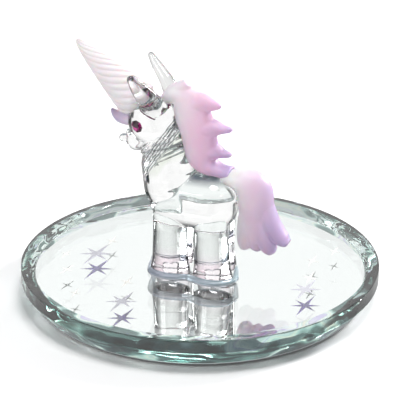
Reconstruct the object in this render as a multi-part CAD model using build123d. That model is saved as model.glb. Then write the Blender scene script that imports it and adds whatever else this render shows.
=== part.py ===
from build123d import *
import os
from math import cos, radians, sin, sqrt

# A flame-worked glass unicorn on a round bevelled mirror.
# The origin is the middle of the mirror's resting face, +Z is up, the figure faces -Y
# and its left side is +X. Forward, up and left are measured from the middle of its stance.

cut_overrun = 2.0

# Mirror base
plate_diameter = 101.6
plate_thickness = 8.7
plate_wall_height = 3.8
bevel_reach = 4.0
silver_thickness = 0.1
paint_thickness = 0.15
pad_diameter = 9.0
pad_height = 0.8
pad_edge_inset = 6.0
pad_count = 4

# Stance on the mirror
stance_left = 7.0
stance_back = 1.5
glue_height = 1.1
glue_border = 0.7
glue_draft = 0.5
foot_sink = 0.7

# Legs
front_leg_forward = 5.9
front_shoulder_forward = 7.0
rear_leg_forward = -6.9
rear_shoulder_forward = -5.6
leg_half_length = 5.6
leg_half_width = 3.9
leg_spread = 4.2
shoulder_spread = 3.6
right_step = 2.2

# Torso, a long round gather from rump to chest
rump_forward = -4.8
rump_radius = 7.9
chest_forward = 6.6
chest_radius = 8.0
torso_height = 21.2

# Neck, a gather that narrows from the shoulders up into the head
neck_forward = 7.5
neck_radius = 8.1
neck_root_rise = 3.4
neck_top_forward = 8.9
neck_top_drop = 2.6
neck_top_radius = 5.9

# Head and muzzle
head_forward = 12.2
head_rise = 20.8
head_radius = 6.9
muzzle_radius = 3.2
muzzle_forward = 5.1
muzzle_drop = 5.3
nostril_radius = 1.2
nostril_bury = 0.45
nostril_forward = 3.6
nostril_spread = 2.4
nostril_rise = 0.8

# Ears, pulled to a point by hand, so the right one stands further forward and higher
ear_root_radius = 3.3
ear_tip_radius = 0.95
ear_root_spread = 3.7
ear_root_rise = 4.6
ear_tip_spread = 8.6
left_ear_root_forward = -1.8
left_ear_tip_forward = 3.2
left_ear_tip_rise = 15.3
right_ear_root_forward = -5.0
right_ear_tip_forward = 4.8
right_ear_tip_rise = 16.4

# Eyes, cut crystals in pockets
eye_radius = 1.85
eye_table_radius = 1.0
eye_crown_height = 0.6
eye_pavilion_depth = 1.1
eye_facets = 8
eye_forward_angle = 20.0
eye_rise_angle = 8.0
eye_face_forward_angle = 11.0
eye_face_drop_angle = 9.0

# Horn, a fluted cone twisted to the left
horn_radius = 6.2
horn_length = 28.2
horn_root_forward = 1.0
horn_root_rise = 3.3
horn_lean_angle = 50.0
horn_flutes = 12
horn_flute_depth = 0.5
horn_twist_angle = 330.0
horn_sections = 48
horn_swell_share = 0.98

# Frosted locks
forelock_half_depth = 2.2
forelock_half_width = 3.3
mane_half_depth = 4.6
mane_half_width = 3.4
mane_reach = 8.4
tail_root_forward = -7.0
tail_inset = 2.2
tail_half_depth = 4.6
tail_half_width = 4.0
tail_reach = 15.0
tail_drop = 13.6

# Half outline of the horn: control points of a curve from root to tip, as shares of its
# length and radius
horn_outline_shares = ((0, 0.85), (0.12, 1.25), (0.45, 0.72), (0.8, 0.42), (1, 0.34), (1, 0))
# Leg columns from foot to shoulder: share of the rise, of the length and of the width
leg_swell_shares = ((0, 1.02, 1.02), (0.12, 1, 1), (0.45, 0.94, 0.95), (0.75, 0.94, 0.9),
                    (1, 0.75, 0.7))
# A lock from root to tip: place along its path, share of its thickness
lock_swell_shares = ((0, 0.8), (0.2, 1), (0.48, 1), (0.67, 0.8), (0.82, 0.48), (0.93, 0.25),
                     (0.985, 0.12))
# Paths of the mane's locks as root, elbow and tip, then the share of the mane's thickness.
# Forward is in shares of the mane's reach from the neck's axis, up is in shares of the rise
# from the top of the torso to the head's centre.
mane_path_shares = {
    "mane_crest": ((0.53, 1.54), (-0.16, 1.81), (-0.72, 1.9), 0.7),
    "mane_upper_lock": ((0, 1.38), (-0.77, 1.52), (-1.77, 1.65), 0.9),
    "mane_middle_lock": ((0.06, 0.9), (-1.13, 1.08), (-2.18, 1.13), 1),
    "mane_lower_lock": ((0, 0.39), (-1.19, 0.58), (-2.15, 0.56), 1),
    "mane_back_lock": ((-0.41, 0.03), (-1.37, 0.12), (-2.39, 0.12), 0.6),
}
# Seams where one lock was pressed onto the next, from the neck out to the notch between tips
mane_seam_shares = (
    ((0.18, 1.57), (-0.8, 1.8)),
    ((-0.06, 1.05), (-1.49, 1.37)),
    ((-0.18, 0.51), (-1.7, 0.78)),
    ((-0.41, 0.19), (-1.7, 0.25)),
)
# The forelock's path in shares of the head's radius from its centre
forelock_path_shares = ((0.48, 0.18), (1.27, 0.08), (1.97, 0.26))
# The tail as one gather: its path from root to hem, and its depth and width along that path.
# Back is in shares of the tail's reach from its root, up is in shares of the drop from the
# torso's axis to the lowest tip.
tail_path_shares = ((0.03, 0.4), (0.46, 0.58), (0.96, 0.96), (0.71, -0.04), (0.95, -1.1))
tail_swell_shares = ((0, 0.62, 0.8), (0.2, 0.74, 1), (0.4, 1, 1), (0.55, 1, 0.95),
                     (0.7, 1.04, 0.95), (0.85, 1.5, 1), (1, 2, 1.05))
# The lines that part the tail into a crown and three combed locks, in the same shares
tail_lock_shares = {
    "tail_crown": ((0.1, 0.1), (-0.4, 0.1), (-0.4, 1.4), (2, 1.4), (2, 0.1)),
    "tail_outer_lock": ((0.84, 0.1), (2, 0.1), (2, -0.3), (1.42, -0.58), (1.14, -0.74)),
    "tail_middle_lock": ((0.63, 0.1), (0.84, 0.1), (1.14, -0.74), (1.03, -0.92), (0.72, -0.84)),
    "tail_inner_lock": ((0, 0.1), (0.63, 0.1), (0.72, -0.84), (0.36, -0.87), (0, -0.7)),
}

plate_radius = plate_diameter / 2
silver_radius = plate_radius - bevel_reach
paint_base = pad_height
silver_base = paint_base + paint_thickness
plate_base = silver_base + silver_thickness
plate_top = plate_base + plate_thickness
head_height = torso_height + head_rise
crest_rise = head_rise - chest_radius


def spot(forward, up, left=0):
    """A place on the figure, from the middle of its stance on the glass."""
    return Vector(stance_left + left, stance_back - forward, plate_top + up)


def way(forward, up, left=0):
    """A direction on the figure."""
    return Vector(left, -forward, up)


def polar(radius, angle):
    """A point of a section at an angle in degrees."""
    return radius * cos(radians(angle)), radius * sin(radians(angle))


def disc(radius, height, base):
    """A flat round layer of the mirror."""
    lift = Align.MIN
    return Pos(0, 0, base) * Cylinder(radius, height, align=(Align.CENTER, Align.CENTER, lift))


def gather(start, start_radius, end, end_radius):
    """A gather of glass: two round ends and the cone that touches both."""
    span = end - start
    length = span.length
    slope = (start_radius - end_radius) / length
    flat = sqrt(1 - slope * slope)
    middle = sqrt((1 + slope) / 2)
    low = (start_radius * flat, start_radius * slope)
    high = (end_radius * flat, length + end_radius * slope)
    low_arc = ThreePointArc(
        (0, -start_radius),
        (start_radius * middle, start_radius * -sqrt((1 - slope) / 2)),
        low,
    )
    high_arc = ThreePointArc(
        high,
        (end_radius * sqrt((1 - slope) / 2), length + end_radius * middle),
        (0, length + end_radius),
    )
    axis = Line((0, length + end_radius), (0, -start_radius))
    half = make_face([low_arc, Line(low, high), high_arc, axis])
    return Plane(origin=start, z_dir=span) * revolve(Plane.XZ * half, Axis.Z)


def lock(path_points, half_depth, half_width):
    """A pulled lock: oval sections along a curve, closing at its tip."""
    path = Bezier(path_points)
    sections = []
    for along, share in lock_swell_shares:
        across = Plane(origin=path @ along, x_dir=(1, 0, 0), z_dir=path % along)
        sections.append(across * Ellipse(half_width * share, half_depth * share))
    sections.append(Vertex(*path_points[-1]))
    return loft(sections)


def seam(start, end):
    """The upright cut across the figure through two places on its middle."""
    along = end - start
    return Plane(origin=start, x_dir=(1, 0, 0), z_dir=Vector(1, 0, 0).cross(along))


def without(piece, *neighbours):
    """Trims a soft gather where it was pressed against those made before it."""
    for neighbour in neighbours:
        piece = piece - neighbour
    return max(piece.solids(), key=lambda solid: solid.volume)


# Mirror base
def mirror_glass():
    """Thick glass with a steep bevel ground round its underside."""
    wall_base = plate_top - plate_wall_height
    side = Polyline(
        (0, plate_base),
        (silver_radius, plate_base),
        (plate_radius, wall_base),
        (plate_radius, plate_top),
        (0, plate_top),
        close=True,
    )
    return revolve(Plane.XZ * make_face(side), Axis.Z)


def foot_pads():
    """Bumpers in a ring near the edge of the silvered flat."""
    ring_radius = silver_radius - pad_edge_inset - pad_diameter / 2
    ring = PolarLocations(ring_radius, pad_count)
    return Compound([place * disc(pad_diameter / 2, pad_height, 0) for place in ring])


# Glass figure
def step(side):
    """How far the feet of one side stand ahead of the other side's."""
    return right_step * (1 - side) / 2


def leg(forward, shoulder_forward, side):
    """A stout column from the glue up into the torso, leaning in at the shoulder."""
    foot_base = glue_height - foot_sink
    sections = []
    for rise, long, wide in leg_swell_shares:
        up = foot_base + (torso_height - foot_base) * rise
        spread = leg_spread + (shoulder_spread - leg_spread) * rise
        place = forward + (shoulder_forward - forward) * rise + step(side) * (1 - rise)
        level = Plane(origin=spot(place, up, side * spread))
        sections.append(level * Ellipse(leg_half_width * wide, leg_half_length * long))
    return loft(sections)


def glue_bed(legs):
    """A low bead of clear adhesive that follows all four feet."""
    beads = []
    half_wide = leg_half_width + glue_border
    half_long = leg_half_length + glue_border
    for forward in (front_leg_forward, rear_leg_forward):
        for side in (1, -1):
            ahead = forward + step(side)
            foot = Plane(origin=spot(ahead, 0, side * leg_spread)) * Ellipse(half_wide, half_long)
            top = Plane(origin=spot(ahead, glue_height, side * leg_spread)) * Ellipse(
                half_wide - glue_draft, half_long - glue_draft
            )
            beads.append(loft([foot, top]))
    reach = front_leg_forward - rear_leg_forward
    middle = (front_leg_forward + rear_leg_forward + right_step) / 2
    bridge = Pos(spot(middle, glue_height / 2)) * Box(2 * leg_spread, reach, glue_height)
    bed = bridge
    for bead in beads:
        bed = bed + bead
    return without(bed, *legs)


def head_way(forward_angle, rise_angle, side):
    """A direction out from the head: sideways, turned forward and raised."""
    turn = radians(forward_angle)
    rise = radians(rise_angle)
    return way(sin(turn) * cos(rise), sin(rise), side * cos(turn) * cos(rise))


def eye(side):
    """A cut crystal: flat table, sloping crown and pointed pavilion, all in flat facets."""
    place = head_centre + head_way(eye_forward_angle, eye_rise_angle, side) * head_radius
    facing = head_way(eye_face_forward_angle, -eye_face_drop_angle, side)
    girdle = Plane(origin=place, z_dir=facing)
    table = Plane(origin=place + facing * eye_crown_height, x_dir=girdle.x_dir, z_dir=facing)
    rim = girdle * RegularPolygon(eye_radius, eye_facets)
    crown = loft([rim, table * RegularPolygon(eye_table_radius, eye_facets)], ruled=True)
    point = place - facing * eye_pavilion_depth
    pavilion = loft([Vertex(*point), rim], ruled=True)
    return crown + pavilion


def ear(side, root_forward, tip_forward, tip_rise):
    """A clear point pulled up and outward from the top of the head."""
    root = head_centre + way(root_forward, ear_root_rise, side * ear_root_spread)
    tip = head_centre + way(tip_forward, tip_rise, side * ear_tip_spread)
    return gather(root, ear_root_radius, tip, ear_tip_radius)


def nostril(side):
    """A small bead melted onto the front of the muzzle."""
    out = way(nostril_forward, nostril_rise, side * nostril_spread).normalized()
    reach = muzzle_radius + nostril_radius - nostril_bury
    return Pos(muzzle_centre + out * reach) * Sphere(nostril_radius)


def horn():
    """A twisted, fluted cone: a ring of arcs between grooves, turned a step at each section."""
    outline = Bezier(horn_outline_shares)
    sections = []
    for step in range(horn_sections):
        along, swell, _ = outline @ (step / horn_sections)
        ridge = horn_radius * swell
        groove = ridge - horn_flute_depth * swell
        turn = -horn_twist_angle * along
        pitch = 360 / horn_flutes
        place = horn_root + horn_axis * (horn_length * along)
        level = Plane(origin=place, x_dir=(1, 0, 0), z_dir=horn_axis)
        arcs = []
        for flute in range(horn_flutes):
            start = turn + pitch * flute
            ends = (start, start + pitch / 2, start + pitch)
            reach = (groove, ridge, groove)
            arcs.append(ThreePointArc(*[polar(r, angle) for r, angle in zip(reach, ends)]))
        sections.append(level * make_face(arcs))
    return loft(sections)


def forelock():
    """A lilac curl between the horn and the forehead."""
    points = [
        head_centre + way(head_radius * forward, head_radius * up)
        for forward, up in forelock_path_shares
    ]
    return lock(points, forelock_half_depth, forelock_half_width)


def mane_spot(forward, up):
    """A place on the mane from its shares."""
    return spot(neck_forward + mane_reach * forward, torso_height + chest_radius + crest_rise * up)


def mane_lock(name, *carriers):
    """One gather of the mane, pressed onto what carries it and flat against the next locks."""
    *places, thickness = mane_path_shares[name]
    points = [mane_spot(*place) for place in places]
    piece = without(lock(points, mane_half_depth * thickness, mane_half_width), *carriers)
    order = list(mane_path_shares).index(name)
    if order > 0:
        above = seam(*[mane_spot(*place) for place in mane_seam_shares[order - 1]])
        piece = split(piece, bisect_by=above, keep=Keep.BOTTOM)
    if order < len(mane_seam_shares):
        below = seam(*[mane_spot(*place) for place in mane_seam_shares[order]])
        piece = split(piece, bisect_by=below, keep=Keep.TOP)
    return without(piece)


def tail_spot(back, up):
    """A place on the tail from its shares."""
    return spot(tail_root_forward - tail_reach * back, torso_height + tail_drop * up)


def tail_gather():
    """The whole tail: over the rump, in at the waist and flared at the hem."""
    path = Bezier([tail_spot(*place) for place in tail_path_shares])
    sections = []
    for along, deep, wide in tail_swell_shares:
        across = Plane(origin=path @ along, x_dir=(1, 0, 0), z_dir=path % along)
        sections.append(across * Ellipse(tail_half_width * wide, tail_half_depth * deep))
    return loft(sections)


def tail_lock(name, gather):
    """One lock of the tail, between its parting lines."""
    corners = [tail_spot(*place) for place in tail_lock_shares[name]]
    width = 2 * tail_half_width + cut_overrun
    side = make_face(Polyline(corners, close=True))
    between = extrude(side, width, dir=(1, 0, 0), both=True)
    return gather & between


head_centre = spot(head_forward, head_height)
horn_root = head_centre + way(horn_root_forward, horn_root_rise)
horn_axis = way(sin(radians(horn_lean_angle)), cos(radians(horn_lean_angle)))
muzzle_centre = head_centre + way(muzzle_forward, -muzzle_drop)

parts = {}
parts["mirror_glass"] = mirror_glass()
parts["silver_coat"] = disc(silver_radius, silver_thickness, silver_base)
parts["backing_paint"] = disc(silver_radius, paint_thickness, paint_base)
parts["foot_pads"] = foot_pads()

# Torso first, then each gather is trimmed by the ones that it was pressed onto
rump = spot(rump_forward, torso_height)
chest = spot(chest_forward, torso_height)
torso = without(gather(rump, rump_radius, chest, chest_radius))
parts["torso"] = torso
eyes = {"eye_left": eye(1), "eye_right": eye(-1)}
head = without(Pos(head_centre) * Sphere(head_radius), *eyes.values())
neck_root = spot(neck_forward, torso_height + neck_root_rise)
neck_top = spot(neck_top_forward, head_height - neck_top_drop)
neck = gather(neck_root, neck_radius, neck_top, neck_top_radius)
parts["head"] = head
parts.update(eyes)
parts["muzzle"] = without(Pos(muzzle_centre) * Sphere(muzzle_radius), head)
parts["neck"] = without(neck, torso, head, parts["muzzle"])
for name, side in (("left", 1), ("right", -1)):
    parts["nostril_" + name] = without(nostril(side), parts["muzzle"])
    front = leg(front_leg_forward, front_shoulder_forward, side)
    rear = leg(rear_leg_forward, rear_shoulder_forward, side)
    parts["front_leg_" + name] = without(front, torso)
    parts["rear_leg_" + name] = without(rear, torso)
legs = [parts[name] for name in parts if "_leg_" in name]
parts["glue_bed"] = glue_bed(legs)

left_ear = ear(1, left_ear_root_forward, left_ear_tip_forward, left_ear_tip_rise)
right_ear = ear(-1, right_ear_root_forward, right_ear_tip_forward, right_ear_tip_rise)
ears = (left_ear, right_ear)
parts["ear_left"] = without(left_ear, head, neck)
parts["ear_right"] = without(right_ear, head, neck)
parts["horn"] = without(horn(), *ears, head)
# The forelock lies against the underside of the horn and the crest against its upper side
under_horn = way(cos(radians(horn_lean_angle)), -sin(radians(horn_lean_angle)))
swell = horn_radius * horn_swell_share
forelock_seam = Plane(horn_root + under_horn * swell, x_dir=(1, 0, 0), z_dir=under_horn)
crest_seam = Plane(horn_root - under_horn * swell, x_dir=(1, 0, 0), z_dir=-under_horn)
curl = split(without(forelock(), head), bisect_by=forelock_seam, keep=Keep.TOP)
parts["forelock"] = without(curl)
crest = mane_lock("mane_crest", head, *ears)
parts["mane_crest"] = without(split(crest, bisect_by=crest_seam, keep=Keep.TOP))
parts["mane_upper_lock"] = mane_lock("mane_upper_lock", head, neck, *ears)
parts["mane_middle_lock"] = mane_lock("mane_middle_lock", neck, head)
parts["mane_lower_lock"] = mane_lock("mane_lower_lock", neck)
parts["mane_back_lock"] = mane_lock("mane_back_lock", neck, torso)
# The tail starts behind the last lock of the mane
rump_seam = Plane(origin=spot(tail_root_forward - tail_inset, 0), z_dir=way(-1, 0))
back_lock = split(parts["mane_back_lock"], bisect_by=rump_seam, keep=Keep.BOTTOM)
parts["mane_back_lock"] = without(back_lock)
tail = split(without(tail_gather(), torso), bisect_by=rump_seam, keep=Keep.TOP)
for name in tail_lock_shares:
    parts[name] = without(tail_lock(name, tail))

os.makedirs("parts", exist_ok=True)
for name, part in parts.items():
    part.label = name
    export_step(part, "parts/" + name + ".step")
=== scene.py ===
"""A flame-worked glass unicorn on a round bevelled mirror, dressed around its CAD frame.

Lengths are in metres in the row's frame: the mirror rests on z = 0 with its middle at the
origin, and the unicorn faces -Y with its left side towards +X.
"""

import math

import bpy
import numpy as np
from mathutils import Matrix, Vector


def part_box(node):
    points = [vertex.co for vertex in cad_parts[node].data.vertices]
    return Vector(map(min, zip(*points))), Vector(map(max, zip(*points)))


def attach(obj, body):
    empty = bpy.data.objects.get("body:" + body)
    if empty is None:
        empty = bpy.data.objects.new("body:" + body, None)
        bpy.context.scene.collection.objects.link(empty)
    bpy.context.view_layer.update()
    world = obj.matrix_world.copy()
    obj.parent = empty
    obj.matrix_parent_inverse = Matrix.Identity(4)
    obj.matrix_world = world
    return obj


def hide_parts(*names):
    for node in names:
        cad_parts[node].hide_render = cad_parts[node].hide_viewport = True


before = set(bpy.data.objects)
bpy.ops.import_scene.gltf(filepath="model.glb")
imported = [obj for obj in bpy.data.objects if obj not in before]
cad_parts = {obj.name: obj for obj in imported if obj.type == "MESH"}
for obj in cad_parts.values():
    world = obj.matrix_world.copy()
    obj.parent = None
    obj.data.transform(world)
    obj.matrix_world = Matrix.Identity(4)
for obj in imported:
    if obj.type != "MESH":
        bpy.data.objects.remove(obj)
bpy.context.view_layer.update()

# Camera
# It stands on the unicorn's left and a little behind it, and looks down on the mirror from a
# long way off, so the round of the mirror is nearly a plain ellipse.
view_azimuth = math.radians(112.0)
view_elevation = math.radians(25.7)
view_distance = 0.5
view_pitch = math.radians(22.87)
view_foot = 0.00105
camera_data = bpy.data.cameras.new("camera")
camera_data.lens = 156.8
camera_data.sensor_width = 36.0
camera_data.clip_start = 0.01
camera_data.clip_end = 10.0
camera = bpy.data.objects.new("camera", camera_data)
level_reach = view_distance * math.cos(view_elevation)
camera.location = (
    level_reach * math.sin(view_azimuth),
    -level_reach * math.cos(view_azimuth),
    view_distance * math.sin(view_elevation) + view_foot,
)
camera.rotation_euler = (math.pi / 2 - view_pitch, 0, view_azimuth)
bpy.context.scene.collection.objects.link(camera)
bpy.context.scene.camera = camera
bpy.context.scene.view_settings.view_transform = "Standard"


# Floor, backdrop and lamps
# A white studio table that keeps the mirror's soft shadow, lit by three soft boxes. The room is
# a white band round the object and darker overhead, which gives clear glass its dark edges.
def node_adder(tree):
    """A function that adds a node to a tree, with its settings and its set or linked inputs."""

    def add(kind, inputs=None, **settings):
        node = tree.nodes.new(kind)
        for key, value in settings.items():
            setattr(node, key, value)
        for key, value in (inputs or {}).items():
            if isinstance(value, bpy.types.NodeSocket):
                tree.links.new(value, node.inputs[key])
            else:
                node.inputs[key].default_value = value
        return node

    return add


def new_material(name):
    """An empty node material, and the function that adds its nodes."""
    material = bpy.data.materials.new(name)
    material.use_nodes = True
    material.node_tree.nodes.clear()
    return material, node_adder(material.node_tree)


def ranged(add, value, start, end, low=0.0, high=1.0):
    """Low to high while the value runs from start to end, and held beyond both."""
    return add("ShaderNodeMapRange", {"Value": value, "From Min": start, "From Max": end,
                                      "To Min": low, "To Max": high}).outputs[0]


def worked(add, operation, *values):
    """Numbers put through one sum, such as MULTIPLY or MULTIPLY_ADD."""
    return add("ShaderNodeMath", dict(enumerate(values)), operation=operation).outputs[0]


def vectored(add, operation, *values):
    """Vectors put through one sum, which gives a vector or, for the measures, a number."""
    node = add("ShaderNodeVectorMath", dict(enumerate(values)), operation=operation)
    return node.outputs["Value" if operation in ("LENGTH", "DOT_PRODUCT", "DISTANCE") else 0]


def blended(add, share, one, other):
    """The colour that is the given share of the way from one to the other."""
    return add("ShaderNodeMix", {0: share, 6: one, 7: other}, data_type="RGBA").outputs[2]


def ramp(add, value, stops):
    """The colour at a value on a ramp of (place, colour) stops."""
    node = add("ShaderNodeValToRGB", {0: value})
    elements = node.color_ramp.elements
    for index, (place, colour) in ((0, stops[0]), (1, stops[-1])):
        elements[index].position = place
        elements[index].color = colour
    for place, colour in stops[1:-1]:
        elements.new(place).color = colour
    return node.outputs[0]


def flag_group(name, flags, soft_edge):
    """Where the dark flags of the studio stand: 1 on a flag and 0 between, from a direction.

    The turn about the upright axis is divided into a ramp of narrow dark bands with soft edges.
    """
    group = bpy.data.node_groups.new(name, "ShaderNodeTree")
    group.interface.new_socket("Direction", in_out="INPUT", socket_type="NodeSocketVector")
    group.interface.new_socket("Flag", in_out="OUTPUT", socket_type="NodeSocketFloat")
    add = node_adder(group)
    given = add("NodeGroupInput")
    axes = add("ShaderNodeSeparateXYZ", {0: given.outputs[0]})
    turn = worked(add, "ARCTAN2", axes.outputs["X"], axes.outputs["Y"])
    bands = add("ShaderNodeValToRGB", {0: ranged(add, turn, -math.pi, math.pi)})
    elements = bands.color_ramp.elements
    elements[0].color = elements[1].color = (0, 0, 0, 1)
    for centre, half in flags:
        for offset, level in ((-half - soft_edge, 0), (-half, 1), (half, 1),
                              (half + soft_edge, 0)):
            place = ((360 - centre - offset) % 360) / 360
            elements.new(place).color = (level, level, level, 1)
    add("NodeGroupOutput", {0: bands.outputs[0]})
    return group


sky_flags = flag_group("sky_flags", [(4, 24), (112, 9), (220, 24)], 5.0)
floor_flags = flag_group("floor_flags", [(22, 13), (66, 8), (112, 13), (157, 8), (202, 13),
                                         (247, 8)], 2.0)
flag_shade = (0.025, 0.03, 0.03, 1)
white = (1, 1, 1, 1)

floor_mesh = bpy.data.meshes.new("floor")
floor_half = 3.0
floor_mesh.from_pydata(
    [(-floor_half, -floor_half, 0), (floor_half, -floor_half, 0),
     (floor_half, floor_half, 0), (-floor_half, floor_half, 0)],
    [], [(0, 1, 2, 3)],
)
floor = bpy.data.objects.new("floor", floor_mesh)
bpy.context.scene.collection.objects.link(floor)
floor_material, add = new_material("floor_white")
floor_diffuse = add("ShaderNodeBsdfDiffuse", {"Color": (0.90, 0.90, 0.905, 1)})
floor_lift = add("ShaderNodeEmission", {"Color": white, "Strength": 0.02})
floor_place = add("ShaderNodeTexCoord").outputs["Object"]
floor_reach = vectored(add, "LENGTH", floor_place)
# Glass sees the floor as a painted glow: a painted shadow, grey under the mirror, then a ring of
# narrow painted dark flags, then the room's flags
floor_flag = add("ShaderNodeGroup", {0: floor_place}, node_tree=floor_flags).outputs[0]
floor_ring = worked(add, "MULTIPLY", floor_flag, ranged(add, floor_reach, 0.07, 0.085))
room_flag = add("ShaderNodeGroup", {0: floor_place}, node_tree=sky_flags).outputs[0]
floor_dark = add("ShaderNodeMix", {0: ranged(add, floor_reach, 0.12, 0.14), 2: floor_ring,
                                   3: room_flag}).outputs[0]
floor_tone = blended(add, floor_dark, white, flag_shade)
floor_painted_for_glass = blended(add, ranged(add, floor_reach, 0.050, 0.062), (0.45, 0.47, 0.48, 1),
                     floor_tone)
floor_glow = add("ShaderNodeEmission", {"Color": floor_painted_for_glass, "Strength": 1.0})
ray = add("ShaderNodeLightPath")
by_glass = worked(add, "MAXIMUM", ray.outputs["Is Glossy Ray"],
                  ray.outputs["Is Transmission Ray"])
lifted = add("ShaderNodeAddShader", {0: floor_diffuse.outputs[0], 1: floor_lift.outputs[0]})
floor_mix = add("ShaderNodeMixShader", {0: by_glass, 1: lifted.outputs[0],
                                        2: floor_glow.outputs[0]})
add("ShaderNodeOutputMaterial", {"Surface": floor_mix.outputs[0]})
floor_mesh.materials.append(floor_material)

world = bpy.data.worlds.new("studio")
bpy.context.scene.world = world
world.use_nodes = True
world.node_tree.nodes.clear()
add = node_adder(world.node_tree)
sky_place = add("ShaderNodeTexCoord").outputs["Generated"]
sky_height = add("ShaderNodeSeparateXYZ", {0: sky_place}).outputs["Z"]
sky_colour = ramp(add, sky_height, [(0.62, white), (0.84, (0.13, 0.16, 0.19, 1))])
sky_flag = add("ShaderNodeGroup", {0: sky_place}, node_tree=sky_flags).outputs[0]
sky_dark = worked(add, "MULTIPLY", sky_flag, ranged(add, sky_height, 0.70, 0.58))
band = add("ShaderNodeBackground", {"Color": blended(add, sky_dark, sky_colour, flag_shade),
                                    "Strength": 1.06})
soft = add("ShaderNodeBackground", {"Color": white, "Strength": 0.32})
sky_ray = add("ShaderNodeLightPath")
sky_pick = add("ShaderNodeMixShader", {0: sky_ray.outputs["Is Diffuse Ray"],
                                       1: band.outputs[0], 2: soft.outputs[0]})
add("ShaderNodeOutputWorld", {"Surface": sky_pick.outputs[0]})

lamps = {
    "soft_box_over": ((0.05, 0.12, 0.75), (0.30, 0.30), 3.6),
    "soft_box_side": ((0.55, -0.45, 0.5), (0.3, 0.3), 1.8),
    "soft_box_low": ((-0.50, 0.36, 0.34), (0.18, 0.18), 5.8),
}
for lamp_name, (lamp_place, lamp_size, lamp_power) in lamps.items():
    lamp_data = bpy.data.lights.new(lamp_name, "AREA")
    lamp_data.shape = "RECTANGLE"
    lamp_data.size, lamp_data.size_y = lamp_size
    lamp_data.energy = lamp_power
    lamp = bpy.data.objects.new(lamp_name, lamp_data)
    lamp.location = lamp_place
    aim = -np.array(lamp_place) / np.linalg.norm(lamp_place)
    lamp.rotation_euler = (math.acos(-aim[2]), 0, math.atan2(lamp_place[0], -lamp_place[1]))
    bpy.context.scene.collection.objects.link(lamp)


# Bumpers
# Four small clear domes under the mirror's edge. They are moulded and self-adhesive. A dome is
# a quarter ellipse carried round its axis, closed by a flat disc against the mirror.
def grid_faces(rows, columns):
    """Quads of a grid whose columns close round, with a fan at the first and last row.

    Vertex r * columns + c is row r, column c; two pole vertices follow the grid.
    """
    row, column = np.meshgrid(np.arange(rows - 1), np.arange(columns), indexing="ij")
    after = (column + 1) % columns
    quads = np.stack([row * columns + column, row * columns + after,
                      (row + 1) * columns + after, (row + 1) * columns + column], -1)
    ring = np.arange(columns)
    turn = (ring + 1) % columns
    last = (rows - 1) * columns
    start_pole, end_pole = rows * columns, rows * columns + 1
    first_fan = np.stack([turn, ring, np.full(columns, start_pole)], -1)
    last_fan = np.stack([last + ring, last + turn, np.full(columns, end_pole)], -1)
    return quads.reshape(-1, 4).tolist() + first_fan.tolist() + last_fan.tolist()


def closed_tube(rings):
    """Vertices and faces of a closed skin from an array of rings: rows by columns by 3."""
    rows, columns, _ = rings.shape
    poles = np.stack([rings[0].mean(0), rings[-1].mean(0)])
    return np.concatenate([rings.reshape(-1, 3), poles]), grid_faces(rows, columns)


def turned(profile, columns, centre=(0, 0)):
    """Rings of a turned piece: each (radius, height) of the profile carried round the axis."""
    angle = np.arange(columns) * 2 * np.pi / columns
    profile = np.asarray(profile, float)
    x = centre[0] + profile[:, :1] * np.cos(angle)
    y = centre[1] + profile[:, :1] * np.sin(angle)
    z = np.repeat(profile[:, 1:], columns, 1)
    return np.stack([x, y, z], -1)


def joined(shells):
    """Several closed skins as one: their vertices in turn, and their faces counted on."""
    vertices, faces, count = [], [], 0
    for shell_vertices, shell_faces in shells:
        vertices.append(shell_vertices)
        faces += [[index + count for index in face] for face in shell_faces]
        count += len(shell_vertices)
    return np.concatenate(vertices), faces


def placed(name, mesh, material, replaced):
    """A finished piece from its mesh: its finish, its body, and the nodes it stands for."""
    mesh.materials.append(material)
    piece = bpy.data.objects.new(name, mesh)
    bpy.context.scene.collection.objects.link(piece)
    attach(piece, "root")
    if replaced:
        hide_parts(*replaced)
    return piece


def make_piece(name, vertices, faces, material, slot, replaced=(), smooth=True):
    """A piece whose mesh is given as it stands in the row's frame."""
    mesh = bpy.data.meshes.new(name)
    mesh.from_pydata(np.asarray(vertices).tolist(), [], faces)
    mesh.validate()
    mesh.shade_smooth() if smooth else mesh.shade_flat()
    return placed(name, mesh, material, replaced)


def noise(add, place, scale, detail, distortion=0.0):
    """A clouded value that drifts over the piece."""
    return add("ShaderNodeTexNoise", {"Vector": place, "Scale": scale, "Detail": detail,
                                      "Distortion": distortion}).outputs[0]


def bumped(add, height, strength, distance, **under):
    """The normal of a face that is raised by a height, over an earlier Normal if given."""
    return add("ShaderNodeBump", {"Height": height, "Strength": strength,
                                  "Distance": distance, **under}).outputs[0]


def surfaced(add, inputs, **inner):
    """The Principled shader with these inputs as the surface, and a Volume if given."""
    shade = add("ShaderNodeBsdfPrincipled", inputs)
    add("ShaderNodeOutputMaterial", {"Surface": shade.outputs[0], **inner})


bumper_material, add = new_material("bumper_clear")
bumper_noise = noise(add, add("ShaderNodeTexCoord").outputs["Object"], 900.0, 3.0)
surfaced(add, {"Base Color": (0.86, 0.87, 0.88, 1), "Roughness": 0.35, "IOR": 1.45,
               "Transmission Weight": 0.6,
               "Normal": bumped(add, bumper_noise, 0.12, 0.0002)})
pad_high = np.array(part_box("foot_pads")[1])
pad_radius = 0.0045
pad_ring = pad_high[0] - pad_radius
quarter = np.linspace(0, np.pi / 2, 9)
pad_profile = np.stack([pad_radius * (0.35 + 0.65 * np.sin(quarter)),
                        pad_high[2] * (1 - np.cos(quarter))], -1)
pads = []
for turn in range(4):
    middle = (pad_ring * math.cos(turn * math.pi / 2), pad_ring * math.sin(turn * math.pi / 2))
    pads.append(closed_tube(turned(pad_profile, 48, middle)))
make_piece("bumpers", *joined(pads), bumper_material, "bumper", ["foot_pads"])

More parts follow.
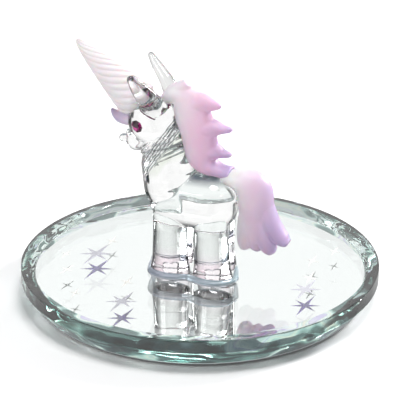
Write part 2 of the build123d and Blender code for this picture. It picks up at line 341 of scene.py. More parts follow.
# Backing paint and silvering
# The mirror's underside is silvered over its flat and painted grey to protect the silver. The
# silver lies on the glass, so its face is set a hair inside the glass that it is seen through.
paint_material, add = new_material("backing_paint_grey")
paint_noise = noise(add, add("ShaderNodeTexCoord").outputs["Object"], 160.0, 6.0)
paint_colour = ramp(add, paint_noise, [(0, (0.10, 0.11, 0.115, 1)), (1, (0.15, 0.16, 0.165, 1))])
surfaced(add, {"Base Color": paint_colour, "Roughness": 0.7,
               "Normal": bumped(add, paint_noise, 0.3, 0.0001)})
paint_low, paint_high = (np.array(corner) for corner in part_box("backing_paint"))
flat_radius = paint_high[0]
paint_profile = [(flat_radius - 0.0001, paint_low[2]), (flat_radius, paint_low[2] + 0.00005),
                 (flat_radius, paint_high[2])]
make_piece("backing_paint_film", *closed_tube(turned(paint_profile, 192)), paint_material,
           "backing_paint", ["backing_paint"])

silver_material, add = new_material("silvering")
silver_noise = noise(add, add("ShaderNodeTexCoord").outputs["Object"], 45.0, 2.0)
silver_colour = ramp(add, silver_noise, [(0, (0.93, 0.935, 0.94, 1)),
                                         (1, (0.96, 0.962, 0.965, 1))])
surfaced(add, {"Base Color": silver_colour, "Roughness": 0.015, "Metallic": 1.0})
silver_low, silver_high = (np.array(corner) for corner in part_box("silver_coat"))
silver_face = silver_high[2] + 0.00002
silver_profile = [(flat_radius, silver_low[2]), (flat_radius, silver_face)]
make_piece("silvering_film", *closed_tube(turned(silver_profile, 192)), silver_material,
           "silvering", ["silver_coat"], smooth=False)

# Mirror glass
# Thick float glass, cut round, with a steep bevel ground and polished round its underside. The
# edges are arrised: each corner of its turned profile is rounded off by a tenth of a millimetre
# or two, as a quadratic curve between the two faces that meet there.
plate_low, plate_high = (np.array(corner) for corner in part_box("mirror_glass"))
plate_radius = plate_high[0]
plate_top = plate_high[2]
plate_base = plate_low[2]
wall_base = plate_top - 0.0038
arris = 0.00018
corners = np.array([(flat_radius, plate_base), (plate_radius, wall_base),
                    (plate_radius, plate_top)])
before = np.array([(0, plate_base), *corners[:-1]])
after = np.array([*corners[1:], (0, plate_top)])
inward = (before - corners) / np.linalg.norm(before - corners, axis=1, keepdims=True)
onward = (after - corners) / np.linalg.norm(after - corners, axis=1, keepdims=True)
along = np.linspace(0, 1, 6)[None, :, None]
entry = (corners + inward * arris)[:, None, :]
leave = (corners + onward * arris)[:, None, :]
rounded = ((1 - along) ** 2 * entry + 2 * along * (1 - along) * corners[:, None, :]
           + along ** 2 * leave)
flat_before = (corners + inward * 3 * arris)[:, None, :]
flat_after = (corners + onward * 3 * arris)[:, None, :]
plate_profile = np.concatenate([flat_before, rounded, flat_after], 1).reshape(-1, 2)

plate_material, add = new_material("plate_glass")
plate_place = add("ShaderNodeTexCoord").outputs["Object"]
plate_bump = bumped(add, noise(add, plate_place, 22.0, 1.0), 0.02, 0.0004)
# The ground bevel: painted reflections and shade in broken green, white and violet tints that
# follow the rim, with the painted shade deeper in the corners to the left and right of the front
flat_place = vectored(add, "MULTIPLY", plate_place, (1, 1, 0))
rim_reach = vectored(add, "LENGTH", flat_place)
rim_way = vectored(add, "NORMALIZE", flat_place)
rim_out = ranged(add, rim_reach, flat_radius, plate_radius, 4.8, 5.8)
rim_turn = add("ShaderNodeVectorMath", {0: rim_way, "Scale": rim_out}, operation="SCALE")
rim_rise = vectored(add, "MULTIPLY", plate_place, (0, 0, 130))
rim_noise = noise(add, vectored(add, "ADD", rim_turn.outputs[0], rim_rise), 1.0, 0.0, 0.5)
rim_front = vectored(add, "DOT_PRODUCT", rim_way, (0.927, 0.375, 0))
rim_side = vectored(add, "DOT_PRODUCT", rim_way, (-0.375, 0.927, 0))
# Painted shade: darker where the rim turns from the front to the sides, by its direction from the
# camera
rim_corner = worked(add, "MULTIPLY", rim_side, rim_side)
rim_painted_shade = worked(add, "MULTIPLY", rim_corner, worked(add, "MAXIMUM", rim_front, 0.0))
rim_shift = worked(add, "MULTIPLY_ADD", rim_painted_shade, -0.8, ranged(add, rim_noise, 0.34, 0.66))
rim_painted_reflection = ramp(add, rim_shift, [
    (0.0, (0.02, 0.05, 0.045, 1)), (0.12, (0.05, 0.13, 0.11, 1)),
    (0.24, (0.28, 0.50, 0.46, 1)), (0.34, (0.62, 0.88, 0.76, 1)),
    (0.42, (0.93, 0.95, 0.74, 1)), (0.48, (0.55, 0.78, 0.76, 1)),
    (0.58, (0.86, 0.96, 0.92, 1)), (0.68, (0.50, 0.68, 0.68, 1)),
    (0.74, (0.50, 0.42, 0.80, 1)), (0.82, (0.90, 0.98, 0.94, 1)),
    (0.94, (0.46, 0.62, 0.60, 1))])
plate_height = add("ShaderNodeSeparateXYZ", {0: plate_place}).outputs["Z"]
below_top = worked(add, "LESS_THAN", plate_height, plate_top - 0.0004)
rim_start = worked(add, "MULTIPLY_ADD", below_top, -0.0008, flat_radius + 0.001)
rim_mask = worked(add, "GREATER_THAN", rim_reach, rim_start)
rim_height = worked(add, "MULTIPLY", rim_noise, rim_mask)
plate_tint = add("ShaderNodeVolumeAbsorption", {"Color": (0.66, 0.93, 0.84, 1), "Density": 4.0})
surfaced(add, {"Base Color": blended(add, rim_mask, (0.985, 1.0, 0.992, 1), rim_painted_reflection),
               "Roughness": 0.0, "IOR": 1.8, "Transmission Weight": 1.0,
               "Normal": bumped(add, rim_height, 0.2, 0.002, Normal=plate_bump)},
         Volume=plate_tint.outputs[0])
plate = make_piece("mirror_plate", *closed_tube(turned(plate_profile, 256)), plate_material,
                   "plate_glass", ["mirror_glass"])
plate.data.set_sharp_from_angle(angle=math.radians(20))


# Printed sparkles
# Sparkle stars screened onto the top of the glass in a thin film: pale silver above and violet
# below, so the mirror shows each one again in violet. Faint cream ones are scattered between.
def sparkle(arms, waist):
    """A star as a thin closed film: its rim steps between the arm tips and a narrow waist.

    The rim is a list of tips with a waist point half way between neighbours, and the film is
    that rim at two heights closed by fans from the middle.
    """
    tips = np.array(arms, float)
    angle, reach = np.radians(tips[:, 0]), tips[:, 1]
    gap = (np.roll(angle, -1) - angle) % (2 * np.pi)
    angles = np.stack([angle, angle + gap / 2], 1).ravel()
    reaches = np.stack([reach, np.full(len(reach), waist)], 1).ravel()
    rim = np.stack([reaches * np.cos(angles), reaches * np.sin(angles)], -1)
    levels = [np.column_stack([rim, np.full(len(rim), level)]) for level in film_levels]
    return closed_tube(np.stack(levels))


def scattered(places, arms, waist):
    """One mesh of many stars: each is moved, turned and sized in the plane of the glass."""
    stars = []
    for x, y, size, turn in places:
        star, star_faces = sparkle(arms, waist)
        cosine, sine = math.cos(math.radians(turn)), math.sin(math.radians(turn))
        spin = np.array([[cosine, sine], [-sine, cosine]])
        star[:, :2] = star[:, :2] @ spin * size + (x, y)
        stars.append((star, star_faces))
    return joined(stars)


def print_finish(name, silver_low, silver_high, under):
    """A thin film of ink: metallic flake on its upper face, a plain colour on its underside."""
    material, add = new_material(name)
    up = add("ShaderNodeSeparateXYZ", {0: add("ShaderNodeNewGeometry").outputs["Normal"]})
    face = worked(add, "GREATER_THAN", up.outputs["Z"], 0.0)
    flake = noise(add, add("ShaderNodeTexCoord").outputs["Object"], 900.0, 2.0)
    silver = blended(add, flake, silver_low, silver_high)
    surfaced(add, {"Base Color": blended(add, face, under, silver), "Roughness": 0.35})
    return material


film_levels = (plate_top + 0.00002, plate_top + 0.00005)
bold_arms = [(-2, 0.0072), (58, 0.0044), (108, 0.0043), (175, 0.0068), (238, 0.0043),
             (294, 0.0042)]  # degrees, reach
bold_places = [(0.00791, -0.02879, 1.12, 0), (0.03346, -0.00935, 0.98, 0),
               (0.00779, 0.03433, 0.98, 0)]  # x, y, size, turn
faint_arms = [(0, 0.0042), (78, 0.0023), (180, 0.0042), (258, 0.0023)]
faint_places = [(0.02078, -0.03189, 0.9, -8), (0.02189, -0.01293, 1.0, 0),
                (0.03354, -0.02323, 0.8, 6), (-0.0017, -0.02832, 0.9, 4),
                (0.01149, -0.03674, 0.7, -4), (0.00049, 0.03317, 1.0, 3),
                (-0.0105, 0.0302, 0.9, 0), (-0.0235, -0.0205, 0.8, 5),
                (-0.0330, 0.0080, 0.9, -6), (-0.0190, 0.0340, 0.8, 0)]
bold_print = print_finish("sparkle_ink", (0.34, 0.34, 0.38, 1), (0.58, 0.58, 0.63, 1),
                          (0.19, 0.06, 0.66, 1))
faint_print = print_finish("faint_sparkle_ink", (0.76, 0.75, 0.70, 1), (0.88, 0.87, 0.82, 1),
                           (0.80, 0.79, 0.74, 1))
make_piece("sparkle_stars", *scattered(bold_places, bold_arms, 0.0012), bold_print,
           "silvering", smooth=False)
make_piece("faint_stars", *scattered(faint_places, faint_arms, 0.0005), faint_print,
           "silvering", smooth=False)

# Glue bead
# The feet stand in a bead of clear bluish adhesive that has crept out round them and set
# with a soft shoulder. The figure's own sizes, from here on, are in millimetres.
scale = 0.001
stance_left, stance_back = 7.0, 1.5


def spot(forward, up, left=0.0):
    """Places on the figure in metres, from forward, up and left in millimetres."""
    forward, up, left = np.broadcast_arrays(forward, up, left)
    placed_at = np.stack([stance_left + left, stance_back - forward, plate_top / scale + up], -1)
    return placed_at * scale


def melted(name, shells, cell, rounds, material, replaced):
    """One closed skin round overlapping shells, as pieces of hot glass run together.

    The shells are remeshed on a grid of the given cell. Then each vertex steps towards the
    mean of its neighbours and a little further back, in turn, which rounds the creases but
    keeps the volume.
    """
    vertices, faces = joined(shells)
    rough = bpy.data.meshes.new(name + "_rough")
    rough.from_pydata(vertices.tolist(), [], faces)
    carrier = bpy.data.objects.new(name + "_rough", rough)
    bpy.context.scene.collection.objects.link(carrier)
    remesh = carrier.modifiers.new("melt", "REMESH")
    remesh.mode = "VOXEL"
    remesh.voxel_size = cell
    graph = bpy.context.evaluated_depsgraph_get()
    skin = bpy.data.meshes.new_from_object(carrier.evaluated_get(graph))
    bpy.data.objects.remove(carrier)
    points = np.empty(len(skin.vertices) * 3)
    skin.vertices.foreach_get("co", points)
    points = points.reshape(-1, 3)
    edges = np.empty(len(skin.edges) * 2, np.int64)
    skin.edges.foreach_get("vertices", edges)
    one, other = edges.reshape(-1, 2).T
    touching = np.bincount(np.concatenate([one, other]), minlength=len(points))[:, None]
    for _ in range(rounds):
        for step in (0.5, -0.52):
            total = np.stack([np.bincount(one, points[other, axis], len(points))
                              + np.bincount(other, points[one, axis], len(points))
                              for axis in range(3)], -1)
            points = points + step * (total / touching - points)
    skin.vertices.foreach_set("co", points.ravel())
    skin.name = name
    skin.shade_smooth()
    skin.materials.clear()
    return placed(name, skin, material, replaced)


def through(table, count):
    """Rows of a table as a smooth curve through them all: each stretch is a Hermite cubic
    whose end slopes are half the step between the neighbours on both sides."""
    table = np.asarray(table, float)
    slopes = np.gradient(table, axis=0)
    place = np.linspace(0, len(table) - 1, count)
    first = np.minimum(place.astype(int), len(table) - 2)
    t = (place - first)[:, None]
    return ((1 + 2 * t) * (1 - t) ** 2 * table[first] + t * (1 - t) ** 2 * slopes[first]
            + t * t * (3 - 2 * t) * table[first + 1] - t * t * (1 - t) * slopes[first + 1])


glue_material, add = new_material("adhesive_bead")
glue_place = add("ShaderNodeTexCoord").outputs["Object"]
glue_noise = noise(add, glue_place, 260.0, 3.0)
glue_split = add("ShaderNodeSeparateXYZ", {0: glue_place})
glue_along = ranged(add, glue_split.outputs["Y"], -0.012, 0.015, 0.1, 0.9)
glue_drift = worked(add, "MULTIPLY_ADD", glue_noise, 0.3, -0.15)
glue_tone = ramp(add, worked(add, "ADD", glue_along, glue_drift),
                 [(0, (0.56, 0.61, 0.74, 1)), (1, (0.50, 0.66, 0.70, 1))])
glue_rise = ranged(add, glue_split.outputs["Z"], plate_top + 0.0003, plate_top + 0.0008)
surfaced(add, {"Base Color": blended(add, glue_rise, (0.90, 0.91, 0.95, 1), glue_tone),
               "Roughness": 0.12, "IOR": 1.3, "Transmission Weight": 0.62,
               "Normal": bumped(add, glue_noise, 0.25, 0.0003)})

glue_line = [  # forward, left: round the outside of the four feet, in at the waist
    (12.1, 3.2), (10.2, 6.9), (6.0, 8.5), (1.8, 7.8), (-0.5, 7.2), (-2.8, 7.8), (-7.0, 8.5),
    (-11.1, 6.9), (-12.9, 3.2), (-12.1, 0.0), (-10.9, -3.4), (-8.9, -6.9), (-4.8, -8.5),
    (-0.6, -7.8), (1.7, -7.2), (4.0, -7.8), (8.1, -8.5), (12.2, -6.9), (14.0, -3.4),
    (13.0, 0.0),
]


def ring_bead(line, count, columns):
    """A bead of adhesive along a closed line: an oval section, high on the side of the foot,
    that is thicker on the figure's left."""
    line = np.array(line + line[:3])
    steps = np.linspace(1, len(line) - 2, count + 1)[:-1]
    run = through(line, 40 * (len(line) - 1) + 1)
    place = np.stack([np.interp(steps * 40, np.arange(len(run)), run[:, axis])
                      for axis in range(2)], -1)
    ahead = np.roll(place, -1, 0) - np.roll(place, 1, 0)
    out = np.stack([ahead[:, 1], -ahead[:, 0]], -1)
    out = out / np.linalg.norm(out, axis=1, keepdims=True)
    around = np.arange(columns) * 2 * np.pi / columns
    thick = 0.68 + 0.056 * place[:, 1]
    side = out[:, None, :] * (thick[:, None] * 1.15 * np.cos(around))[..., None]
    up = np.maximum(0.42 + thick[:, None] * np.sin(around), 0.03)
    ring = spot(place[:, None, 0] + side[..., 0], up, place[:, None, 1] + side[..., 1])
    row, column = np.meshgrid(np.arange(count), np.arange(columns), indexing="ij")
    next_row, next_column = (row + 1) % count, (column + 1) % columns
    quads = np.stack([row * columns + column, next_row * columns + column,
                      next_row * columns + next_column, row * columns + next_column], -1)
    return ring.reshape(-1, 3), quads.reshape(-1, 4).tolist()


melted("glue_bead", [ring_bead(glue_line, 360, 24)], 0.0002, 6, glue_material,
       ["glue_bed"])

# Clear glass figure
# Body, legs, neck, head, muzzle, nostril beads and ears are gathers of clear glass, melted into
# one another in the flame, so they meet in soft creases with no seam between them.
clear_material, add = new_material("clear_glass")
clear_place = add("ShaderNodeTexCoord").outputs["Object"]
clear_noise = noise(add, clear_place, 120.0, 2.0)
# The wound neck: fine turns across it, dark threads on them, and a greenish plain band below
wind_axis = np.array([0.0, -0.85, 0.53])
wind_pitch = 0.00074
wind_drift = worked(add, "MULTIPLY_ADD", clear_noise, 0.0014,
                    -0.0007 - float(spot(7.9, 40.2) @ wind_axis))
wind_place = worked(add, "ADD", vectored(add, "DOT_PRODUCT", clear_place, tuple(wind_axis)),
                    wind_drift)
wind = worked(add, "SINE", worked(add, "MULTIPLY", wind_place, 2 * math.pi / wind_pitch))
neck_way = vectored(add, "DISTANCE", clear_place, tuple(spot(9.4, 38.4)))
neck_mask = ranged(add, neck_way, 0.0125, 0.0105)


def wind_band(*edges):
    """1 between the inner two of four places along the winding and 0 outside the outer two."""
    rise = ranged(add, wind_place, edges[0], edges[1])
    fall = ranged(add, wind_place, edges[3], edges[2])
    return worked(add, "MULTIPLY", worked(add, "MULTIPLY", rise, fall), neck_mask)


wound_band = wind_band(-0.0034, -0.0024, 0.0003, 0.0009)
plain_band = wind_band(-0.0058, -0.0048, -0.0030, -0.0024)
thread_mask = worked(add, "MULTIPLY", ranged(add, wind, 0.15, 0.75, 0.0, 0.9), wound_band)
wound = worked(add, "MULTIPLY", wind, wound_band)
clear_height = worked(add, "MULTIPLY_ADD", wound, 1.2, clear_noise)
# Painted shade: a dark rim painted where clear glass turns away, wide on the legs, narrow above
# them, grey on the right ear, and softer on both ears but for the right one's tip
clear_facing = add("ShaderNodeLayerWeight", {"Blend": 0.35}).outputs["Facing"]
clear_split = add("ShaderNodeSeparateXYZ", {0: clear_place})
clear_side, clear_level = clear_split.outputs["X"], clear_split.outputs["Z"]
ears_share = ranged(add, clear_level, 0.0575, 0.0595)
right_ear_share = worked(add, "MULTIPLY", ears_share, ranged(add, clear_side, 0.007, 0.004))
soft_rim_share = worked(add, "MULTIPLY", ears_share, ranged(add, clear_side, -0.001, 0.001))
legs_end = (plate_top + 0.013, plate_top + 0.018)
rim_begins = ranged(add, right_ear_share, 0.0, 1.0,
                    ranged(add, clear_level, *legs_end, 0.10, 0.30), 0.06)
clear_painted_rim = ranged(add, clear_facing, rim_begins, ranged(add, clear_level, *legs_end, 0.32, 0.60),
                   ranged(add, right_ear_share, 0.0, 1.0, 0.0, 0.16),
                   ranged(add, soft_rim_share, 0.0, 1.0, 0.92, 0.45))
threads_and_painted_rim = worked(add, "MAXIMUM", clear_painted_rim, thread_mask)
foot_share = ranged(add, clear_level, plate_top + 0.0045, plate_top + 0.0010)
foot_tint = blended(add, foot_share, (0.99, 0.995, 0.99, 1), (0.985, 0.89, 0.94, 1))
clear_body = blended(add, plain_band, foot_tint, (0.80, 0.85, 0.76, 1))
# The neck's dark threads, and the painted rim shade, over the glass's own tints
surfaced(add, {"Base Color": blended(add, threads_and_painted_rim, clear_body, (0.03, 0.032, 0.035, 1)),
               "Roughness": 0.0, "IOR": 1.5, "Transmission Weight": 1.0,
               "Normal": bumped(add, clear_height, 0.2, 0.0003)})


def swept(path, deep, wide, columns=48):
    """A tube of ovals along a path in the figure's middle plane, given as forward and up.

    Each ring is the path point plus a cosine share across the path in that plane and a sine
    share to the side.
    """
    path = np.asarray(path, float)
    run = np.gradient(path, axis=0)
    run = run / np.linalg.norm(run, axis=1, keepdims=True)
    across = np.stack([-run[:, 1], run[:, 0]], -1)
    angle = np.arange(columns) * 2 * np.pi / columns
    share = np.cos(angle)[None, :, None] * np.asarray(deep)[:, None, None]
    flat = path[:, None, :] + across[:, None, :] * share
    left = np.sin(angle)[None, :] * np.asarray(wide)[:, None]
    return closed_tube(spot(flat[..., 0], flat[..., 1], left)[:, ::-1])


def gather(start, start_radius, end, end_radius, columns=64, rows=48):
    """A gather of hot glass between two round ends, given as (forward, up, left) in one upright
    plane along the figure: the start ball up to the angle where the cone between the ends
    touches it, then the end ball from that angle on, as circles round the line between them.
    """
    start, end = np.array(start, float), np.array(end, float)
    axis = end - start
    length = np.linalg.norm(axis)
    axis = axis / length
    first = math.acos((start_radius - end_radius) / length)
    low = np.linspace(math.pi, first, rows // 2)[1:]
    high = np.linspace(first, 0, rows // 2)[:-1]
    along = np.concatenate([start_radius * np.cos(low), length + end_radius * np.cos(high)])
    radius = np.concatenate([start_radius * np.sin(low), end_radius * np.sin(high)])
    aside = np.cross(axis, (0.0, 0.0, 1.0))
    aside = aside / np.linalg.norm(aside)
    up = np.cross(axis, aside)
    angle = np.arange(columns) * 2 * np.pi / columns
    ring = (np.cos(angle)[:, None] * aside + np.sin(angle)[:, None] * up)
    points = (start + along[:, None, None] * axis + radius[:, None, None] * ring)
    return closed_tube(spot(points[..., 0], points[..., 1], points[..., 2]))


def ball(centre, radius):
    """A round drop of glass, as a very short gather."""
    centre = np.array(centre, float)
    return gather(centre, radius, centre + (0.0, 0.001, 0.0), radius)


torso_height = 21.2
head_forward, head_height, head_radius = 12.4, 42.7, 7.0
muzzle_forward, muzzle_height, muzzle_radius = 17.3, 36.7, 3.2
foot_half_length, foot_half_width = 5.6, 3.9
foot_aside, shoulder_aside = 4.2, 3.6
right_step = 2.2


def leg(forward, shoulder_forward, side):
    """A stout column: ovals from the foot up, leaning in at the shoulder, wider at the foot.
    The right feet stand a step ahead of the left ones."""
    rise = np.linspace(0, 1, 40)
    swell = np.interp(rise, (0, 0.06, 0.2, 0.55, 0.8, 1), (1.04, 1.03, 0.94, 0.88, 0.88, 0.72))
    ahead = (forward + (right_step / 2 - right_step / 2 * side) * (1 - rise)
             + (shoulder_forward - forward) * rise)
    up = 0.06 + (torso_height - 0.06) * rise
    aside = side * (foot_aside + (shoulder_aside - foot_aside) * rise)
    angle = np.arange(64) * 2 * np.pi / 64
    ahead = ahead[:, None] + np.outer(foot_half_length * swell, np.cos(angle))
    aside = aside[:, None] + np.outer(foot_half_width * swell, np.sin(angle))
    return closed_tube(spot(ahead, np.repeat(up[:, None], 64, 1), aside))


def ear(side, path, broad, thick):
    """A pulled point: ovals along a bent line up and out from the head, flat to the side."""
    path = through(path, 40)
    along = np.linspace(0, 1, 40)
    swell = np.interp(along, (0, 0.2, 0.45, 0.7, 0.9, 0.97, 1),
                      (1, 0.97, 0.82, 0.62, 0.42, 0.32, 0.12))
    run = np.gradient(path, axis=0)
    run = run / np.linalg.norm(run, axis=1, keepdims=True)
    flat = np.cross(run, (0.25, 0.0, 1.0))
    flat = flat / np.linalg.norm(flat, axis=1, keepdims=True)
    face = np.cross(flat, run)
    angle = np.arange(40) * 2 * np.pi / 40
    broad, thick = broad * swell, thick * swell
    points = (path[:, None, :]
              + np.cos(angle)[None, :, None] * (broad[:, None] * flat)[:, None, :]
              + np.sin(angle)[None, :, None] * (thick[:, None] * face)[:, None, :])
    return closed_tube(spot(points[..., 0], points[..., 1], side * points[..., 2]))


neck_path = through([(7.2, 27.2), (7.9, 30.8), (9.0, 34.2), (11.0, 37.2), (13.4, 39.2)], 90)
neck_share = np.linspace(0, 1, 90)
neck_swell = np.interp(neck_share, (0, 0.3, 0.6, 0.85, 1), (7.2, 7.1, 6.3, 5.9, 5.6))
neck_wind = 0.34 * np.sin(neck_share * 2 * np.pi * 5.2) * np.clip((neck_share - 0.3) / 0.2, 0, 1)
muzzle_centre = np.array([muzzle_forward, muzzle_height, 0.0])
clear_shells = [
    gather((-4.8, torso_height, 0), 7.9, (5.6, torso_height, 0), 7.8),
    gather((7.1, torso_height + 3.8, 0), 7.8, (8.3, 30.8, 0), 7.3),
    gather((7.6, 31.0, 0), 7.2, (8.7, 39.6, 0), 5.5),
    swept(neck_path, neck_swell + neck_wind, 0.94 * neck_swell + neck_wind),
    ball((head_forward, head_height, 0), head_radius),
    ball(muzzle_centre, muzzle_radius),
]
ear_shapes = {  # by side: forward, up, left from root to tip, half breadth, half thickness
    1: ([(9.9, 46.8, 3.4), (11.5, 50.2, 5.0), (13.7, 54.2, 7.0), (15.5, 57.8, 8.7)], 3.9, 2.8),
    -1: ([(7.0, 47.2, 4.2), (10.2, 51.6, 5.6), (13.9, 55.6, 7.2), (17.2, 59.1, 8.7)], 2.5, 2.1),
}
for side in (1, -1):
    bead_way = np.array([3.6, 0.8, side * 2.4])
    bead_way = bead_way / np.linalg.norm(bead_way)
    clear_shells += [leg(5.9, 6.2, side), leg(-6.9, -5.6, side), ear(side, *ear_shapes[side]),
                     ball(muzzle_centre + bead_way * (muzzle_radius + 0.75), 1.2)]
clear_nodes = ["torso", "neck", "head", "muzzle", "nostril_left", "nostril_right",
               "ear_left", "ear_right", "front_leg_left", "front_leg_right", "rear_leg_left",
               "rear_leg_right"]
melted("clear_figure", clear_shells, 0.00026, 8, clear_material, clear_nodes)

# Eyes
# Cut crystals, dark fuchsia, with painted glints and shade on their facets, pressed into the hot
# head.
# They stay the CAD's own solids and take a foiled crystal finish.
eye_material, add = new_material("fuchsia_crystal")
eye_cells = add("ShaderNodeTexVoronoi", {"Vector": add("ShaderNodeTexCoord").outputs["Object"],
                                         "Scale": 900.0})
# Painted glints and shade: cells of the colour run from near black to bright fuchsia
eye_colour_and_painted_glints = ramp(add, eye_cells.outputs["Color"],
                  [(0.45, (0.03, 0.0, 0.015, 1)), (0.85, (0.70, 0.04, 0.34, 1))])
surfaced(add, {"Base Color": eye_colour_and_painted_glints, "Roughness": 0.05, "Metallic": 0.55, "IOR": 1.6,
               "Coat Weight": 1.0, "Coat Roughness": 0.02})
for eye_name in ("eye_left", "eye_right"):
    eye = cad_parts[eye_name]
    eye.data.materials.clear()
    eye.data.materials.append(eye_material)


# Horn
# A wide cone of pale pink glass, twisted to the left while hot so that its twelve flutes wind
# up to the tip, then frosted.
def eased(table, count):
    """Rows of a table of control values, as a Bezier curve of them all at even steps."""
    table = np.asarray(table, float)
    t = np.linspace(0, 1, count)[:, None]
    degree = len(table) - 1
    weights = [math.comb(degree, k) * t ** k * (1 - t) ** (degree - k)
               for k in range(degree + 1)]
    return sum(weight * row for weight, row in zip(weights, table))


def pressed(points, carriers):
    """Points that fall inside a carrier move straight out from its axis to just under its
    surface. A carrier is (start, radius, end, radius, sink), its ends as forward, up, left."""
    flat = points.reshape(-1, 3) / scale
    flat = np.stack([stance_back - flat[:, 1], flat[:, 2] - plate_top / scale,
                     flat[:, 0] - stance_left], -1)
    for start, start_radius, end, end_radius, sink in carriers:
        start, end = np.array(start, float), np.array(end, float)
        axis = end - start
        share = np.clip(((flat - start) @ axis) / (axis @ axis), 0, 1)[:, None]
        near = start + share * axis
        radius = start_radius + (end_radius - start_radius) * share - sink
        away = flat - near
        reach = np.linalg.norm(away, axis=1, keepdims=True)
        flat = np.where(reach < radius, near + away / np.maximum(reach, 1e-6) * radius, flat)
    return spot(flat[:, 0], flat[:, 1], flat[:, 2]).reshape(points.shape)


head_ball = ((head_forward, head_height, 0), head_radius,
             (head_forward, head_height + 0.001, 0), head_radius, 0.12)
neck_gather = ((7.5, torso_height + 3.4, 0), 8.1, (8.9, 39.4, 0), 5.5, 0.12)
torso_gather = ((-4.8, torso_height, 0), 7.9, (6.6, torso_height, 0), 8.0, 0.12)


def frosted(name, pale, rosy, lilac, painted_edge_shade, stops, span, axis):
    """Satin glass: pale where it joins the body, rosy in the body of the lock, lilac at the
    tips. The tints follow a place along one axis of the row, over a span in metres, and are
    clouded. The edge tint is painted shade, laid where the glass turns away."""
    material, add = new_material(name)
    place = add("ShaderNodeTexCoord").outputs["Object"]
    shift = ranged(add, add("ShaderNodeSeparateXYZ", {0: place}).outputs[axis], *span)
    drift = ranged(add, noise(add, place, 160.0, 3.0), 0.0, 1.0, -0.12, 0.12)
    tint = ramp(add, worked(add, "ADD", shift, drift), list(zip(stops, (pale, rosy, lilac))))
    # Painted shade: the edge tint where the glass turns away from the view
    facing = add("ShaderNodeLayerWeight", {"Blend": 0.35}).outputs["Facing"]
    rim = ranged(add, facing, 0.55, 0.95, 0.0, 0.85)
    surfaced(add, {"Base Color": blended(add, rim, tint, painted_edge_shade), "Roughness": 0.42, "IOR": 1.5,
                   "Transmission Weight": 0.35, "Subsurface Weight": 0.3,
                   "Subsurface Scale": 0.003,
                   "Normal": bumped(add, noise(add, place, 5000.0, 2.0), 0.12, 0.00004)})
    return material


horn_material = frosted("frosted_horn", (0.95, 0.88, 0.92, 1), (0.94, 0.88, 0.91, 1),
                        (0.94, 0.90, 0.91, 1), (0.52, 0.48, 0.52, 1), (0.0, 0.4, 1.0),
                        (-0.010, -0.034), "Y")
horn_radius, horn_length, horn_flutes, horn_twist = 6.2, 28.2, 12, math.radians(330)
horn_lean = math.radians(50.0)
horn_rows, horn_columns = 220, 288
horn_line = eased([(0, 0.85), (0.12, 1.25), (0.45, 0.72), (0.8, 0.42), (1, 0.34), (1, 0)],
                  horn_rows)[:-1]
horn_axis = np.array([math.sin(horn_lean), math.cos(horn_lean), 0.0])
horn_across = np.array([0.0, 0.0, 1.0])
horn_down = np.array([-math.cos(horn_lean), math.sin(horn_lean), 0.0])
horn_angle = np.arange(horn_columns) * 2 * np.pi / horn_columns
horn_along, horn_swell = horn_line[:, :1], horn_line[:, 1:]
horn_swell = horn_swell * np.interp(horn_along, (0, 0.05, 0.1, 0.15, 0.2),
                                    (0.1, 0.42, 0.7, 0.9, 1))
lobes = np.abs(np.sin(horn_flutes / 2 * (horn_angle[None, :] + horn_twist * horn_along)))
horn_reach = horn_radius * horn_swell * (1 - 0.085 * (1 - lobes ** 0.8))
horn_points = (np.array([13.4, 45.3, 0.0])
               + horn_axis * (horn_length * horn_along)[..., None]
               + horn_reach[..., None] * (np.cos(horn_angle)[None, :, None] * horn_across
                                          + np.sin(horn_angle)[None, :, None] * horn_down))
horn_rings = spot(horn_points[..., 0], horn_points[..., 1], horn_points[..., 2])
horn_vertices, horn_faces = closed_tube(horn_rings)
make_piece("twisted_horn", pressed(horn_vertices, [head_ball]), horn_faces, horn_material,
           "frosted_horn_glass", ["horn"])

# Forelock
# A curl of lilac frosted glass, pulled from a small gather that is pressed on under the horn,
# with its tip turned up while it was soft.
forelock_material = frosted("frosted_forelock", (0.88, 0.78, 0.88, 1), (0.80, 0.68, 0.86, 1),
                            (0.46, 0.40, 0.60, 1), (0.36, 0.28, 0.46, 1), (0.1, 0.5, 1.0),
                            (-0.0145, -0.0245), "Y")
forelock_path = eased([(15.5, 44.2), (20.5, 41.6), (23.2, 42.2), (25.0, 44.6)], 48)
forelock_swell = np.interp(np.linspace(0, 1, 48), (0, 0.3, 0.6, 0.85, 1),
                           (0.9, 1, 0.8, 0.45, 0.15))
curl_vertices, curl_faces = swept(forelock_path, 2.0 * forelock_swell, 3.0 * forelock_swell)
melted("forelock_curl", [(pressed(curl_vertices, [head_ball]), curl_faces)], 0.00022, 4,
       forelock_material, ["forelock"])


# Mane
# Gathers of pink frosted glass pressed down the back of the neck one after the other, and run
# together where they touch: one long ridge, with four ends pulled out to a flick.
def locks(tables, steps, carriers):
    """Swept locks from tables of forward, up, half depth and half width, pressed on."""
    shells = []
    for table, count in zip(tables, steps):
        lock = through(table, count)
        vertices, faces = swept(lock[:, :2], lock[:, 2], lock[:, 3])
        shells.append((pressed(vertices, carriers), faces))
    return shells


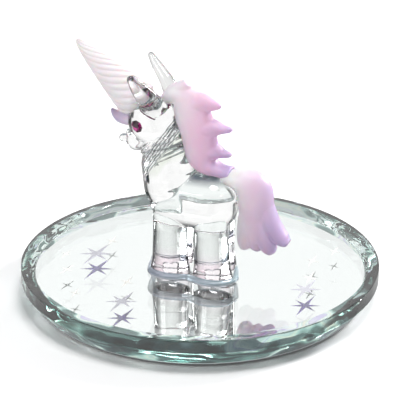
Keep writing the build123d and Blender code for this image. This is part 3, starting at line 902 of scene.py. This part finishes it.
mane_material = frosted("frosted_mane", (0.96, 0.92, 0.95, 1), (0.89, 0.60, 0.78, 1),
                        (0.60, 0.47, 0.74, 1), (0.42, 0.28, 0.54, 1), (0.1, 0.55, 1.0),
                        (-0.006, 0.0125), "Y")
mane_tables = [  # the ridge, then the flicks from root to tip
    [(9.2, 49.0, 1.3, 1.8), (7.2, 50.6, 2.4, 2.6), (4.8, 51.2, 3.5, 3.1),
     (2.3, 49.2, 4.6, 3.4), (0.7, 45.8, 5.2, 3.6), (-0.6, 42.2, 5.2, 3.7),
     (-1.3, 38.6, 5.1, 3.7), (-1.9, 35.0, 4.9, 3.6), (-3.6, 32.4, 3.2, 3.4),
     (-7.2, 31.0, 1.8, 3.1), (-10.6, 30.6, 1.7, 3.0)],
    [(6.4, 51.2, 2.6, 2.8), (4.4, 52.8, 2.4, 2.5), (2.9, 54.1, 2.0, 2.0), (2.1, 55.1, 1.4, 1.3)],
    [(1.5, 48.8, 3.9, 3.4), (-2.0, 49.7, 2.9, 2.8), (-4.8, 49.5, 1.7, 2.0),
     (-6.6, 49.4, 0.95, 1.2), (-7.4, 49.5, 0.45, 0.6)],
    [(-2.2, 42.6, 3.6, 3.5), (-5.6, 43.0, 2.4, 2.8), (-8.0, 43.0, 1.25, 1.9),
     (-9.8, 43.1, 0.85, 1.2), (-10.7, 43.3, 0.4, 0.6)],
    [(-2.6, 36.2, 3.4, 3.4), (-5.6, 36.4, 2.4, 2.8), (-8.0, 36.0, 1.25, 1.9),
     (-9.7, 35.9, 0.85, 1.2), (-10.5, 36.1, 0.4, 0.6)],
]
melted("mane_locks", locks(mane_tables, (120, 48, 48, 48, 48),
                           [head_ball, neck_gather, torso_gather]),
       0.00026, 10, mane_material,
       ["mane_crest", "mane_upper_lock", "mane_middle_lock", "mane_lower_lock",
        "mane_back_lock"])

# Tail
# One gather that goes up over the rump, hangs, and flares at its hem, where it is combed into
# three locks with a fourth filling in between. Pink, then lilac outside, with a painted highlight
# that makes it white by the legs.
tail_material = frosted("frosted_tail", (0.96, 0.95, 0.95, 1), (0.85, 0.65, 0.81, 1),
                        (0.63, 0.50, 0.76, 1), (0.42, 0.32, 0.50, 1), (0.15, 0.5, 0.9),
                        (0.0125, 0.027), "Y")
tail_tables = [  # the crown and its hang, then the locks of the hem from root to tip
    [(-8.2, 29.2, 1.6, 3.0), (-11.0, 29.4, 2.4, 3.8), (-14.2, 28.9, 3.9, 4.4),
     (-16.7, 26.8, 5.4, 4.8), (-17.8, 23.0, 5.0, 4.8), (-17.9, 18.8, 4.7, 4.5),
     (-18.4, 14.8, 5.0, 4.3), (-19.0, 12.4, 4.6, 3.9)],
    [(-20.4, 22.0, 2.6, 3.6), (-21.8, 18.0, 2.8, 3.6), (-23.8, 15.2, 2.5, 3.2),
     (-26.0, 13.3, 1.9, 2.6), (-27.4, 12.6, 1.0, 1.6)],
    [(-19.0, 20.0, 2.8, 4.2), (-20.0, 15.4, 3.0, 4.3), (-21.3, 12.0, 2.6, 3.8),
     (-22.2, 9.8, 1.8, 2.8), (-22.5, 8.7, 0.9, 1.5)],
    [(-15.8, 20.0, 2.6, 4.0), (-15.4, 15.0, 2.7, 4.2), (-15.2, 11.6, 2.4, 3.8),
     (-15.0, 9.8, 1.7, 2.8), (-15.0, 9.1, 0.9, 1.6)],
    [(-17.6, 19.0, 2.4, 4.2), (-17.8, 14.0, 2.5, 4.3), (-18.4, 11.2, 2.1, 3.7),
     (-18.7, 9.9, 1.4, 2.6), (-18.8, 9.2, 0.8, 1.5)],
]
melted("tail_locks", locks(tail_tables, (110, 48, 48, 48, 48), [torso_gather]),
       0.00026, 8, tail_material,
       ["tail_crown", "tail_outer_lock", "tail_middle_lock", "tail_inner_lock"])
